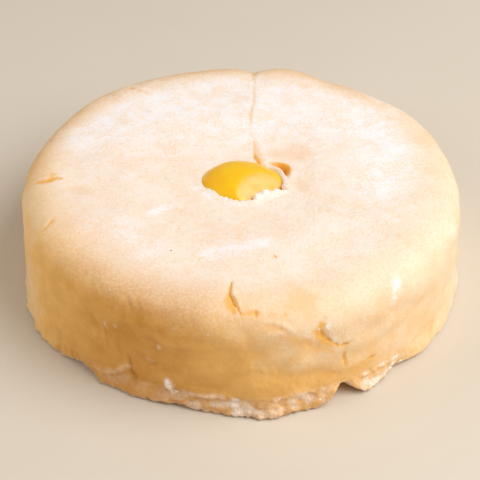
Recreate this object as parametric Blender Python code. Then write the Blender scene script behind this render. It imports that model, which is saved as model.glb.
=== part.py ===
"""A round sweet tart in a pale pastry wrap, with a candied chestnut set in its top.

Metres, +Z up. The origin is the middle of the flat underside, and the front faces -Y.
The wrap is one solid: a flat underside, a ragged foot, an upright side, a rounded
shoulder and a top that dips to an uneven hole. The chestnut is a second solid, which
sits in the cup below that hole.
"""

import math

import bmesh
import bpy
from mathutils import Vector, noise

MM = 0.001

# Driving sizes of the wrap
TART_RADIUS = 47.5 * MM
TART_HEIGHT = 25.5 * MM
SHOULDER_REACH = 9.0 * MM
SHOULDER_DROP = 8.0 * MM
SHOULDER_FULLNESS = 2.5
WAIST_RADIUS = 47.6 * MM
FOOT_HEIGHT = 4.4 * MM
FOOT_RADIUS = 48.4 * MM
REST_RADIUS = 41.0 * MM

# Driving sizes of the chestnut and of the hole that shows it
NUT_CENTRE = Vector((0.4, -2.1, 21.0)) * MM
NUT_HALF_LENGTH = 10.0 * MM
NUT_HALF_WIDTH = 8.1 * MM
NUT_RISE = 5.9 * MM
NUT_DEPTH = 6.8 * MM
NUT_TIP = 0.9 * MM
NUT_GAP = 0.4 * MM
LIP_LATITUDE = math.radians(28)
HOLE_DIP = 1.1 * MM
HOLE_DIP_REACH = 9.0 * MM

# Uneven outlines: each lobe is an azimuth and a half width in degrees, and an amount
SHOULDER_LOBES = (
    (32, 9, 0.7 * MM),
    (62, 6, -0.8 * MM),
    (76, 6, 0.9 * MM),
    (86, 4, -1.2 * MM),
    (118, 14, 0.3 * MM),
    (140, 9, 0.5 * MM),
    (200, 16, -0.3 * MM),
    (292, 24, 0.5 * MM),
)
FOOT_LOBES = (
    (15, 20, 0.5 * MM),
    (52, 9, -0.6 * MM),
    (80, 12, 0.7 * MM),
    (118, 10, -0.5 * MM),
    (150, 12, 0.4 * MM),
    (187, 4, -0.6 * MM),
    (210, 7, 0.5 * MM),
    (227, 5, -1.2 * MM),
    (254, 7, -0.5 * MM),
    (277, 9, 1.7 * MM),
    (291, 5, 0.8 * MM),
    (296, 2.6, -1.6 * MM),
    (301, 3, 1.0 * MM),
    (312, 5, -1.2 * MM),
)
# Where the foot's edge stands clear of the surface under it
FOOT_LIFTS = (
    (40, 6, 0.9 * MM),
    (101, 5, 1.1 * MM),
    (163, 7, 0.7 * MM),
    (227, 5, 0.8 * MM),
    (254, 6, 0.5 * MM),
    (295.5, 3.2, 2.7 * MM),
    (315, 8, 0.6 * MM),
)

# The torn flap of pastry at the right end of the chestnut
FLAP_AZIMUTH = 12
FLAP_HALF_WIDTH = 26
# The crumbly part of the lip, which lies further over the chestnut
CRUMB_AZIMUTH = 312
CRUMB_HALF_WIDTH = 30
CRUMB_RISE = 0.5 * MM
CRUMB_REACH = math.radians(16)

# Sections across the lip, from the cup to the top: distance out, share of the climb to
# the top skin, and extra height
PLAIN_LIP = (
    (0.0, 0.0, 0.0),
    (0.15, 0.45, 0.0),
    (0.45, 0.8, 0.05),
    (0.85, 1.0, 0.05),
    (1.3, 1.0, 0.03),
    (1.8, 1.0, 0.0),
)
TORN_LIP = (
    (0.0, 0.0, 0.0),
    (0.4, 0.8, 0.3),
    (1.1, 0.9, 0.1),
    (1.6, 0.3, -3.2),
    (2.5, 1.0, -0.4),
    (4.0, 1.0, 0.0),
)

# Creases and tears in the skin: points in mm, half width and depth
SEAM = (
    (3.7, 5.2, 24.8),
    (3.2, 8.8, 25.0),
    (2.8, 14.0, 25.4),
    (3.1, 20.0, 25.5),
    (3.6, 28.4, 25.5),
    (3.5, 38.0, 25.5),
    (3.5, 44.2, 24.6),
    (3.4, 47.4, 17.5),
    (3.4, 47.4, 8.0),
)
LEFT_TEAR = ((-46.2, -2.6, 22.0), (-43.6, -3.1, 24.6), (-41.4, -3.7, 25.3), (-37.6, -2.5, 25.5))
LEFT_CREASE = ((-41.6, -18.8, 23.2), (-40.3, -19.0, 24.1), (-38.8, -17.2, 25.1), (-36.6, -13.6, 25.5))
FRONT_TEAR = (
    (-1.2, -37.5, 25.5),
    (-1.6, -40.4, 25.4),
    (-0.6, -42.9, 24.9),
    (0.5, -44.9, 23.9),
    (1.9, -45.3, 23.5),
    (3.2, -44.7, 24.0),
)
SIDE_TEAR = (
    (16.6, -43.9, 21.3),
    (16.2, -44.5, 19.3),
    (17.7, -44.1, 16.3),
    (19.8, -43.2, 14.1),
    (21.6, -42.3, 14.4),
)
SIDE_SPLIT = ((20.2, -43.0, 13.7), (20.3, -42.9, 11.0), (20.9, -42.7, 8.1))
BACK_CREASE = ((-28.5, 35.5, 23.0), (-25.5, 34.0, 24.8), (-21.0, 30.5, 25.5))
TEARS = (
    (SEAM, 1.3 * MM, 0.8 * MM),
    (LEFT_TEAR, 1.3 * MM, 0.8 * MM),
    (LEFT_CREASE, 1.3 * MM, 0.6 * MM),
    (FRONT_TEAR, 1.3 * MM, 0.9 * MM),
    (SIDE_TEAR, 1.3 * MM, 0.9 * MM),
    (SIDE_SPLIT, 1.2 * MM, 0.6 * MM),
    (BACK_CREASE, 1.4 * MM, 0.6 * MM),
)

# Soft folds that stand proud of the skin
FRONT_FOLD = (
    (0.0, -45.6, 23.3),
    (5.7, -45.9, 22.5),
    (10.5, -46.0, 20.5),
    (13.5, -45.5, 18.1),
    (16.6, -44.5, 15.1),
)
LOW_FOLD = ((-21.5, -42.5, 6.4), (-13.6, -45.5, 5.2), (-5.0, -47.3, 4.6))
TAB = ((-14.4, -45.3, 5.9), (-14.0, -45.4, 3.5))
FOLDS = (
    (FRONT_FOLD, 1.8 * MM, 0.5 * MM),
    (LOW_FOLD, 0.9 * MM, 0.4 * MM),
    (TAB, 0.9 * MM, 0.9 * MM),
)

# Soft lumps of the hand-laid sheet
LUMP_SIZE = 15 * MM
LUMP_HEIGHT = 0.45 * MM
RAGGED_SIZE = 4.5 * MM
RAGGED_HEIGHT = 0.45 * MM

# Rows of the wrap's skin in each band, from the cup to the underside
CUP_ROWS = 5
LIP_ROWS = 10
TOP_ROWS = 8
SHOULDER_ROWS = 7
SIDE_ROWS = 6
FOOT_ROWS = 7
REST_ROWS = 2
SKIN_COLUMNS = 132
NUT_COLUMNS = 32
NUT_ROWS = 16

BAND_ROWS = (CUP_ROWS, LIP_ROWS, TOP_ROWS, SHOULDER_ROWS, SIDE_ROWS, FOOT_ROWS, REST_ROWS)


def clear_scene():
    for thing in list(bpy.data.objects):
        bpy.data.objects.remove(thing)


def smooth(value):
    """0 below 0, 1 above 1, and an even S between."""
    value = min(1.0, max(0.0, value))
    return value * value * (3 - 2 * value)


def outward(azimuth):
    return Vector((math.cos(azimuth), math.sin(azimuth), 0))


def lobe(azimuth, centre, half_width):
    """1 at the lobe's centre, falling to nothing round it. The lobe's angles are in degrees."""
    away = (math.degrees(azimuth) - centre + 180) % 360 - 180
    return math.exp(-((away / half_width) ** 2))


def lobes(azimuth, table):
    return sum(amount * lobe(azimuth, centre, width) for centre, width, amount in table)


def flap_share(azimuth):
    return lobe(azimuth, FLAP_AZIMUTH, FLAP_HALF_WIDTH) ** 1.5


def along(points, share):
    """The point at that share of a smooth curve through points."""
    place = min(share, 0.999999) * (len(points) - 1)
    first = int(place)
    t = place - first
    ends = [Vector(points[min(max(first + step, 0), len(points) - 1)]) for step in (-1, 0, 1, 2)]
    before, start, stop, after = ends
    return (
        start
        + (stop - before) * (0.5 * t)
        + (before * 2 - start * 5 + stop * 4 - after) * (0.5 * t * t)
        + (start * 3 - before - stop * 3 + after) * (0.5 * t * t * t)
    )


def nut_point(azimuth, latitude, gap=0.0):
    """A point of the chestnut's skin, or of the cup that stands off it by gap."""
    rise = (NUT_RISE if latitude > 0 else NUT_DEPTH) + gap
    tip = NUT_TIP * lobe(azimuth, 188, 28)
    across = math.cos(latitude)
    return NUT_CENTRE + Vector(
        (
            (NUT_HALF_LENGTH + tip + gap) * math.cos(azimuth) * across,
            (NUT_HALF_WIDTH + gap) * math.sin(azimuth) * across,
            rise * math.sin(latitude),
        )
    )


def shoulder_radius(azimuth):
    return TART_RADIUS + lobes(azimuth, SHOULDER_LOBES)


def foot_radius(azimuth):
    ragged = noise.noise(outward(azimuth) * (FOOT_RADIUS / RAGGED_SIZE))
    return FOOT_RADIUS + lobes(azimuth, FOOT_LOBES) + RAGGED_HEIGHT * ragged


def top_height(place):
    """Height of the top skin, which dips round the hole."""
    away = (place - NUT_CENTRE).to_2d().length - NUT_HALF_LENGTH
    return TART_HEIGHT - HOLE_DIP * math.exp(-((max(away, 0) / HOLE_DIP_REACH) ** 2))


def cup_point(azimuth, share):
    top = LIP_LATITUDE + CRUMB_REACH * lobe(azimuth, CRUMB_AZIMUTH, CRUMB_HALF_WIDTH)
    return nut_point(azimuth, -math.pi / 2 + share * (math.pi / 2 + top), NUT_GAP)


def lip_point(azimuth, share):
    start = cup_point(azimuth, 1)
    torn = flap_share(azimuth)
    out, climb, extra = along(PLAIN_LIP, share).lerp(along(TORN_LIP, share), torn)
    place = start + outward(azimuth) * out * MM
    rise = CRUMB_RISE * lobe(azimuth, CRUMB_AZIMUTH, CRUMB_HALF_WIDTH) * math.sin(math.pi * share)
    place.z = start.z + (top_height(place) - start.z) * climb + extra * MM + rise
    return place


def top_point(azimuth, share):
    inner = lip_point(azimuth, 1)
    outer = outward(azimuth) * (shoulder_radius(azimuth) - SHOULDER_REACH)
    place = inner.lerp(outer, share**1.2)
    place.z = top_height(place)
    return place


def shoulder_point(azimuth, share):
    turn = share * math.pi / 2
    fullness = 2 / SHOULDER_FULLNESS
    reach = SHOULDER_REACH * (1 - math.sin(turn) ** fullness)
    drop = SHOULDER_DROP * (1 - math.cos(turn) ** fullness)
    place = outward(azimuth) * (shoulder_radius(azimuth) - reach)
    place.z = TART_HEIGHT - drop
    return place


def side_point(azimuth, share):
    start = shoulder_point(azimuth, 1)
    waist = WAIST_RADIUS + 0.7 * lobes(azimuth, FOOT_LOBES)
    place = outward(azimuth) * (start.length_squared - start.z**2) ** 0.5
    place = place.lerp(outward(azimuth) * waist, smooth(share))
    place.z = start.z + (FOOT_HEIGHT - start.z) * share
    return place


def foot_point(azimuth, share):
    """From the waist, out to the foot's edge and back under it to the flat rest."""
    edge = foot_radius(azimuth)
    lift = lobes(azimuth, FOOT_LIFTS)
    waist = side_point(azimuth, 1).to_2d().length
    section = (
        (waist, FOOT_HEIGHT),
        (waist + 0.1 * (edge - waist), FOOT_HEIGHT * 0.72 + lift * 0.3),
        (waist + 0.6 * (edge - waist), FOOT_HEIGHT * 0.45 + lift * 0.7),
        (edge, 0.7 * MM + lift),
        (edge - 0.3 * MM, 0.2 * MM + lift),
        (edge - 1.6 * MM, lift * 0.85),
        (REST_RADIUS + 2.2 * MM, lift * 0.35),
        (REST_RADIUS, 0.0),
    )
    radius, height, _ = along([(r, z, 0) for r, z in section], share)
    place = outward(azimuth) * radius
    place.z = max(height, 0.0)
    return place


def rest_point(azimuth, share):
    return outward(azimuth) * (REST_RADIUS * (1 - share))


BANDS = (cup_point, lip_point, top_point, shoulder_point, side_point, foot_point, rest_point)


def skin_point(azimuth, station):
    """A point of the wrap: the whole part of station is its band, the rest its place in it."""
    band = min(int(station + 1e-6), len(BANDS) - 1)
    return BANDS[band](azimuth, min(max(station - band, 0.0), 1.0))


def line_share(place, table):
    """The largest amount that a table of lines gives at a place."""
    most = 0.0
    for points, half_width, amount in table:
        path = [Vector(point) * MM for point in points]
        nearest = 1.0
        for start, stop in zip(path, path[1:]):
            step = stop - start
            share = min(1.0, max(0.0, (place - start).dot(step) / step.length_squared))
            nearest = min(nearest, (place - start - step * share).length)
        most = max(most, amount * math.exp(-((nearest / half_width) ** 2)))
    return most


def turned_blank(profile, columns):
    """A bmesh of a profile, (radius, height, station) from pole to pole, spun about +Z."""
    bm = bmesh.new()
    stations = bm.verts.layers.float.new("station")
    chain = []
    for radius, height, station in profile:
        vert = bm.verts.new((radius, 0, height))
        vert[stations] = station
        chain.append(vert)
    edges = [bm.edges.new(pair) for pair in zip(chain, chain[1:])]
    bmesh.ops.spin(
        bm,
        geom=chain + edges,
        cent=(0, 0, 0),
        axis=(0, 0, 1),
        angle=2 * math.pi,
        steps=columns,
        use_merge=True,
    )
    bmesh.ops.remove_doubles(bm, verts=bm.verts, dist=0.01 * MM)
    bmesh.ops.recalc_face_normals(bm, faces=bm.faces)
    return bm, stations


def skin_stations():
    """Station numbers from the bottom of the cup to the middle of the underside."""
    found = []
    for band, rows in enumerate(BAND_ROWS):
        found += [band + row / rows for row in range(rows)]
    return found + [float(len(BAND_ROWS))]


def mesh_object(name, bm, material):
    mesh = bpy.data.meshes.new(name)
    bm.to_mesh(mesh)
    bm.free()
    mesh.materials.append(material)
    mesh.shade_smooth()
    return bpy.data.objects.new(name, mesh)


def make_wrap(material):
    """The pastry wrap, from a turned blank drawn out to the uneven skin."""
    profile = []
    for station in skin_stations():
        place = skin_point(0, station)
        on_axis = station in (0.0, float(len(BAND_ROWS)))
        radius = 0.0 if on_axis else place.to_2d().length
        profile.append((radius, place.z, station))
    bm, stations = turned_blank(profile, SKIN_COLUMNS)
    for vert in bm.verts:
        vert.co = skin_point(math.atan2(vert.co.y, vert.co.x), vert[stations])
    bm.normal_update()
    moves = [skin_relief(vert, vert[stations]) for vert in bm.verts]
    for vert, move in zip(bm.verts, moves):
        vert.co += move
    bmesh.ops.recalc_face_normals(bm, faces=bm.faces)
    return mesh_object("pastry_wrap", bm, material)


def skin_relief(vert, station):
    """Lumps, folds and tears of the outer skin. The cup, the lip and the rest keep their form."""
    above_foot = 1 - smooth((station - 5.0) / 0.4)
    lump = noise.noise(vert.co / LUMP_SIZE) * LUMP_HEIGHT * smooth((station - 2.0) / 0.5)
    lines = line_share(vert.co, FOLDS) - line_share(vert.co, TEARS)
    return vert.normal * (lump + lines * smooth((station - 1.9) / 0.15)) * above_foot


def make_nut(material):
    """The candied chestnut, drawn out to a tip at its left end and flatter at its right."""
    profile = []
    for row in range(NUT_ROWS + 1):
        latitude = math.pi * (0.5 - row / NUT_ROWS)
        radius = 0.0 if row in (0, NUT_ROWS) else NUT_HALF_WIDTH * math.cos(latitude)
        profile.append((radius, NUT_HALF_WIDTH * math.sin(latitude), latitude))
    bm, latitudes = turned_blank(profile, NUT_COLUMNS)
    for vert in bm.verts:
        azimuth = math.atan2(vert.co.y, vert.co.x)
        place = nut_point(azimuth, vert[latitudes])
        facet = smooth(((place - NUT_CENTRE).x - 0.8 * MM) / (7 * MM))
        above = smooth((place.z - NUT_CENTRE.z) / NUT_RISE)
        place.z -= 0.9 * MM * facet * above
        vert.co = place
    bmesh.ops.recalc_face_normals(bm, faces=bm.faces)
    return mesh_object("chestnut", bm, material)


def centre(pieces):
    """Moves the pieces together until the middle of their box is over the origin."""
    corners = [vert.co for piece in pieces for vert in piece.data.vertices]
    middle = Vector(
        [(min(co[axis] for co in corners) + max(co[axis] for co in corners)) / 2 for axis in (0, 1)]
        + [0]
    )
    for piece in pieces:
        for vert in piece.data.vertices:
            vert.co -= middle


def plain_material(name, colour, roughness):
    material = bpy.data.materials.new(name)
    material.use_nodes = True
    shader = material.node_tree.nodes["Principled BSDF"]
    shader.inputs["Base Color"].default_value = (*colour, 1)
    shader.inputs["Roughness"].default_value = roughness
    shader.inputs["Metallic"].default_value = 0
    return material


def main():
    clear_scene()
    tart = bpy.data.collections.new("chestnut_tart")
    bpy.context.scene.collection.children.link(tart)
    pastry = plain_material("baked_pastry", (0.84, 0.66, 0.42), 0.65)
    candied = plain_material("candied_chestnut", (0.95, 0.52, 0.02), 0.25)
    pieces = (make_wrap(pastry), make_nut(candied))
    centre(pieces)
    for piece in pieces:
        tart.objects.link(piece)


main()
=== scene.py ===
import functools
import math
import random

import bmesh
import bpy
from mathutils import Matrix, Vector, noise
from mathutils.bvhtree import BVHTree


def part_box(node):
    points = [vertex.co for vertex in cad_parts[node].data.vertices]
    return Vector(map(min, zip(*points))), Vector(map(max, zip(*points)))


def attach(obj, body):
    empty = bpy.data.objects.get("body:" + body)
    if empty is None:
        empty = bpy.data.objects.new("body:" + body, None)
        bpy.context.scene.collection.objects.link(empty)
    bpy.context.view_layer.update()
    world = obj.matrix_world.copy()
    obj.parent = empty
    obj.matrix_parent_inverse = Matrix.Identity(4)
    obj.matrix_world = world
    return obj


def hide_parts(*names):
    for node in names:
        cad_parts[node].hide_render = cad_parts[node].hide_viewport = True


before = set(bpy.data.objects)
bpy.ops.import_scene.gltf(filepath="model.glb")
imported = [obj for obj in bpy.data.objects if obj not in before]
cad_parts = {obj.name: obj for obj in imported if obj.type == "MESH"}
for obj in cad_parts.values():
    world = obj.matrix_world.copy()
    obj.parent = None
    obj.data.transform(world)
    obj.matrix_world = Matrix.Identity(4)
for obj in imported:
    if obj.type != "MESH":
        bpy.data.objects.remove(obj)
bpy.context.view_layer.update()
mm = 0.001
print("frame loaded")


# Shared helpers: soft steps, lobes round the tart, smooth lines and new objects


def smooth(value):
    value = min(1.0, max(0.0, value))
    return value * value * (3 - 2 * value)


def outward(azimuth):
    return Vector((math.cos(azimuth), math.sin(azimuth), 0))


def lobe(azimuth, centre, halfWidth):  # 1 at the centre, in degrees, and nothing well away from it
    away = (math.degrees(azimuth) - centre + 180) % 360 - 180
    return math.exp(-((away / halfWidth) ** 2))


def lobes(azimuth, table):
    return sum(amount * lobe(azimuth, centre, halfWidth) for centre, halfWidth, amount in table)


def along(points, share):  # a place on the smooth curve through the points
    place = min(share, 0.999999) * (len(points) - 1)
    first = int(place)
    t = place - first
    before, start, stop, after = [points[min(max(first + i, 0), len(points) - 1)] for i in (-1, 0, 1, 2)]
    return (
        start
        + (stop - before) * (0.5 * t)
        + (before * 2 - start * 5 + stop * 4 - after) * (0.5 * t * t)
        + (start * 3 - before - stop * 3 + after) * (0.5 * t * t * t)
    )


def newObject(name, bm, material):
    mesh = bpy.data.meshes.new(name)
    bm.to_mesh(mesh)
    bm.free()
    mesh.materials.append(material)
    mesh.shade_smooth()
    thing = bpy.data.objects.new(name, mesh)
    bpy.context.scene.collection.objects.link(thing)
    return thing


# Materials


def linear(hexColour):  # "#rrggbb" as the picture shows it, to the linear colour that a shader takes
    parts = [int(hexColour[i : i + 2], 16) / 255 for i in (1, 3, 5)]
    return (*[c / 12.92 if c <= 0.04045 else ((c + 0.055) / 1.055) ** 2.4 for c in parts], 1)


def addNode(tree, kind, inputs=None, **settings):
    node = tree.nodes.new(kind)
    for name, value in settings.items():
        setattr(node, name, value)
    for socket, value in (inputs or {}).items():
        if isinstance(value, bpy.types.NodeSocket):
            tree.links.new(value, node.inputs[socket])
        else:
            node.inputs[socket].default_value = value
    return node


def newMaterial(name, **shaderValues):
    material = bpy.data.materials.new(name)
    material.use_nodes = True
    shader = material.node_tree.nodes["Principled BSDF"]
    for socket, value in shaderValues.items():
        shader.inputs[socket.replace("_", " ")].default_value = value
    return material, material.node_tree, shader


def mixColour(tree, share, first, second):
    inputs = {0: share, 6: first, 7: second}  # by number, since colour sockets share names
    return addNode(tree, "ShaderNodeMix", inputs, data_type="RGBA", clamp_factor=True).outputs[2]


def combine(tree, operation, first, second):
    return addNode(tree, "ShaderNodeMath", {0: first, 1: second}, operation=operation).outputs[0]


def objectPlace(tree):
    return addNode(tree, "ShaderNodeTexCoord").outputs["Object"]


def painted(tree, name):  # a mask that the mesh carries
    return addNode(tree, "ShaderNodeAttribute", attribute_name=name).outputs["Fac"]


def cloud(tree, place, size, detail=3, roughness=0.5):  # noise whose grain has that size in metres
    inputs = {"Vector": place, "Scale": 1 / size, "Detail": detail, "Roughness": roughness}
    return addNode(tree, "ShaderNodeTexNoise", inputs).outputs["Fac"]


def ranged(tree, value, low, high, newLow=0.0, newHigh=1.0, kind="SMOOTHSTEP"):
    inputs = {"Value": value, "From Min": low, "From Max": high, "To Min": newLow, "To Max": newHigh}
    return addNode(tree, "ShaderNodeMapRange", inputs, interpolation_type=kind).outputs["Result"]


def addBump(tree, shader, height, strength, distance):
    bump = addNode(tree, "ShaderNodeBump", {"Height": height, "Strength": strength, "Distance": distance})
    tree.links.new(bump.outputs["Normal"], shader.inputs["Normal"])


pastryShades = {
    "goldDark": "#cb8e3b",  # the side, from darkest to palest; the mask that picks between them carries painted shade and painted light as well as the pastry's own uneven tone
    "gold": "#f0bb69",
    "goldPale": "#f8dfbb",
    "creamWarm": "#f8dabb",  # the top
    "cream": "#fbe4ca",
    "browned": "#f0c286",  # its small flecks
    "sugary": "#fef6ea",
    "flour": "#faf5f6",
    "tearEdge": "#f3bc6c",
    "tearFloor": "#eda234",
    "tornDoughAndSheen": "#fdf7ee",
}
# the mask of the gold's paleness carries painted light and painted shade down the side
maskNames = ("crown", "paleAndLit", "dust", "tear", "torn")


def bakedPastry():
    # Rolled short pastry, baked pale: matt, a little waxy where it is bare, chalky where flour lies.
    # The skin is cream on top and golden down the side. Masks painted on the mesh carry where.
    material, tree, shader = newMaterial(
        "bakedPastry", IOR=1.45, Subsurface_Weight=0.14, Subsurface_Scale=1.6 * mm, Specular_IOR_Level=0.3
    )
    shader.inputs["Subsurface Radius"].default_value = (1.0, 0.7, 0.4)
    shade = {name: linear(code) for name, code in pastryShades.items()}
    place = objectPlace(tree)
    layered = addNode(tree, "ShaderNodeMapping", {"Vector": place, "Scale": (1, 1, 1.6)}).outputs["Vector"]

    def plus(first, second):
        return combine(tree, "ADD", first, second)

    def times(first, second):
        return combine(tree, "MULTIPLY", first, second)

    def minus(first, second):
        return combine(tree, "SUBTRACT", first, second)

    grain = cloud(tree, place, 0.5 * mm, 2, 0.6)  # crumb of the dough, the size of fine sugar
    fleck = cloud(tree, place, 1.1 * mm, 3, 0.6)
    patch = cloud(tree, place, 11 * mm, 3, 0.55)  # how unevenly the oven coloured it
    smear = cloud(tree, layered, 7 * mm, 4, 0.6)  # pulled along where the sheet was stretched round the side
    drift = cloud(tree, place, 4 * mm, 4, 0.65)  # flour left from rolling
    crown, paleAndLit, dust, tear, torn = [painted(tree, name) for name in maskNames]

    uneven = plus(ranged(tree, smear, 0.3, 0.7, -0.07, 0.07), ranged(tree, patch, 0.35, 0.65, -0.05, 0.05))
    uneven = plus(uneven, ranged(tree, drift, 0.35, 0.65, -0.05, 0.05))
    # paleness is mostly painted light and painted shade, with the pastry's own uneven tone added
    paleness = plus(paleAndLit, uneven)
    darkToGold = ranged(tree, paleness, 0.0, 0.5, kind="LINEAR")
    goldToPale = ranged(tree, paleness, 0.5, 1.0, kind="LINEAR")
    golden = mixColour(tree, darkToGold, shade["goldDark"], shade["gold"])
    golden = mixColour(tree, goldToPale, golden, shade["goldPale"])
    cream = mixColour(tree, ranged(tree, patch, 0.35, 0.68), shade["creamWarm"], shade["cream"])
    border = times(times(crown, minus(1.0, crown)), 4.0)  # 1 where cream gives way to gold
    scatter = times(minus(plus(grain, fleck), 1.0), 0.42)
    broken = ranged(tree, plus(crown, times(scatter, border)), 0.0, 1.0, kind="LINEAR")
    skin = mixColour(tree, broken, golden, cream)

    speckle = plus(times(grain, 0.45), times(drift, 0.65))
    flour = times(dust, ranged(tree, speckle, 0.42, 0.66, 0.35, 1.0))
    layers = (
        ("browned", times(crown, ranged(tree, fleck, 0.52, 0.68, 0, 0.45))),
        ("sugary", times(crown, ranged(tree, grain, 0.48, 0.66, 0, 0.28))),
        ("flour", flour),
        ("tearEdge", ranged(tree, tear, 0.0, 0.55)),
        ("tearFloor", ranged(tree, tear, 0.5, 1.0)),
        # torn dough, and the painted highlights on ridges and pimples
        ("tornDoughAndSheen", times(torn, ranged(tree, grain, 0.3, 0.6, 0.55, 1.0))),
    )
    for name, share in layers:  # each lies over the ones before it
        skin = mixColour(tree, share, skin, shade[name])
    tree.links.new(skin, shader.inputs["Base Color"])

    roughness = ranged(tree, plus(flour, torn), 0.0, 0.8, 0.5, 0.85)
    tree.links.new(roughness, shader.inputs["Roughness"])
    clotInputs = {"Vector": place, "Scale": 1 / (0.8 * mm)}
    clots = addNode(tree, "ShaderNodeTexVoronoi", clotInputs).outputs["Distance"]
    height = plus(times(grain, 0.6), times(fleck, 0.9))
    height = minus(height, times(torn, times(clots, 2.2)))
    addBump(tree, shader, height, 0.6, 0.2 * mm)
    return material


# end is painted shade on the tip away from the light; the flat's colour is a painted highlight
nutShades = {"vein": "#ffb900", "flesh": "#ffd000", "end": "#feb000", "flat": "#ffc050"}


def candiedNut():
    # A whole chestnut boiled in syrup: dense, yellow right through, with a soft wet shine. One end is a
    # deeper orange, as painted shade, and the flat is paler, as a painted highlight.
    material, tree, shader = newMaterial(
        "candiedChestnut",
        Roughness=0.45, IOR=1.45, Specular_IOR_Level=0.05,
        Subsurface_Weight=0.4, Subsurface_Scale=3 * mm,
        Coat_Weight=1.0, Coat_Roughness=0.31, Coat_IOR=1.56,
    )
    shader.inputs["Subsurface Radius"].default_value = (1.0, 0.6, 0.1)
    shade = {name: linear(code) for name, code in nutShades.items()}
    place = objectPlace(tree)
    vein = cloud(tree, place, 3.5 * mm)
    sugar = cloud(tree, place, 0.6 * mm, 2)
    tone = mixColour(tree, vein, shade["vein"], shade["flesh"])
    # The left end is mixed to a deeper orange: painted shade on the end away from the light.
    sideways = addNode(tree, "ShaderNodeSeparateXYZ", {"Vector": place}).outputs["X"]
    fromEnd = ranged(tree, sideways, -10.5 * mm, -2 * mm, kind="LINEAR")
    tone = mixColour(tree, fromEnd, shade["end"], tone)
    # The flat is mixed to a paler yellow: a painted highlight.
    tone = mixColour(tree, painted(tree, "flat"), tone, shade["flat"])
    tree.links.new(tone, shader.inputs["Base Color"])
    addBump(tree, shader, combine(tree, "ADD", vein, sugar), 0.2, 0.15 * mm)
    return material


def looseFlour():
    # Clotted flour and white crumb: dry, chalky, no shine.
    material, tree, shader = newMaterial(
        "looseFlour", Roughness=0.9, Specular_IOR_Level=0.2, Subsurface_Weight=0.2, Subsurface_Scale=0.8 * mm
    )
    clot = cloud(tree, objectPlace(tree), 0.4 * mm, 2)
    tree.links.new(mixColour(tree, clot, linear("#f6e6cf"), linear("#fdf8f0")), shader.inputs["Base Color"])
    addBump(tree, shader, clot, 0.6, 0.1 * mm)
    return material


def burntFlour():
    # A grain of flour that burnt: nearly black, and dry.
    material, _, shader = newMaterial("burntFlour", Roughness=0.8)
    shader.inputs["Base Color"].default_value = linear("#241a13")
    return material


pastryMaterial = bakedPastry()
nutMaterial = candiedNut()
flourMaterial = looseFlour()
burntMaterial = burntFlour()
print("materials made")


# The candied chestnut, which the wrap's cup is formed round

nut = {
    "centre": Vector((0.4, -2.1, 21.0)) * mm,
    "halfLength": 10 * mm,
    "halfWidth": 8.1 * mm,
    "rise": 5.9 * mm,
    "depth": 6.8 * mm,
    "tip": 0.4 * mm,
    "tipLobe": (188, 28),  # where the tip is: azimuth and half width
    "crest": (112, 55, 0.6 * mm),  # how much fuller it is behind: azimuth, half width and amount
    "facetFace": Vector((0.41, -0.42, 0.81)).normalized(),  # the flat that catches the light
    "facetCut": 2.15 * mm,
    "facetSoftness": 1.2 * mm,
    "facetFade": 0.6 * mm,  # the flat's painted highlight is full where this much was planed off
    "shrink": 0.06 * mm,
    "dentSize": 2.5 * mm,
    "dentDepth": 0.12 * mm,
}


def nutPoint(azimuth, latitude, gap=0.0):
    rise = (nut["rise"] if latitude > 0 else nut["depth"]) + gap
    tip = nut["tip"] * lobe(azimuth, *nut["tipLobe"])
    across = math.cos(latitude)
    return nut["centre"] + Vector(
        (
            (nut["halfLength"] + tip + gap) * math.cos(azimuth) * across,
            (nut["halfWidth"] + gap) * math.sin(azimuth) * across,
            rise * math.sin(latitude),
        )
    )


def flatten(place, face, cut):  # planes off what stands beyond a flat, with a soft border
    reach = Vector((nut["halfLength"] * face.x, nut["halfWidth"] * face.y, nut["rise"] * face.z)).length
    beyond = (place - nut["centre"]).dot(face) - (reach - cut)
    if beyond > 0:
        place -= face * (beyond * beyond / (beyond + nut["facetSoftness"]))
    return place


# The wrap's driving sizes, in metres unless a name says otherwise

wrap = {
    "radius": 47.5 * mm,
    "height": 25.5 * mm,
    "shoulderReach": 9 * mm,
    "shoulderDrop": 8 * mm,
    "shoulderFullness": 2.5,
    "waistRadius": 47.6 * mm,
    "footHeight": 4.4 * mm,
    "footRadius": 48.4 * mm,
    "restRadius": 41 * mm,
    "holeDip": 1.1 * mm,
    "holeDipReach": 9 * mm,
    "columns": 540,
    "rows": (6, 34, 42, 30, 34, 32, 2),  # cup, lip, top, shoulder, side, foot, underside
    "nutGap": 0.03 * mm,
    "lumpSize": 15 * mm,
    "lumpHeight": 0.45 * mm,
    "dimpleSize": 5.5 * mm,
    "dimpleHeight": 0.12 * mm,
    "rippleSize": 6 * mm,
    "rippleHeight": 0.36 * mm,
    "poreSize": 1.9 * mm,
    "poreHeight": 0.035 * mm,
    "raggedSize": 4.5 * mm,
    "raggedHeight": 0.45 * mm,
    "nibbleSize": 1.1 * mm,
    "nibbleHeight": 0.2 * mm,
    "nibbleMore": (212, 30, 2.8),  # where the trimmed edge is nibbled most: azimuth, half width, amount
    "bunching": 0.36,  # radians that the columns are drawn round to the front, where more shows
}

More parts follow.
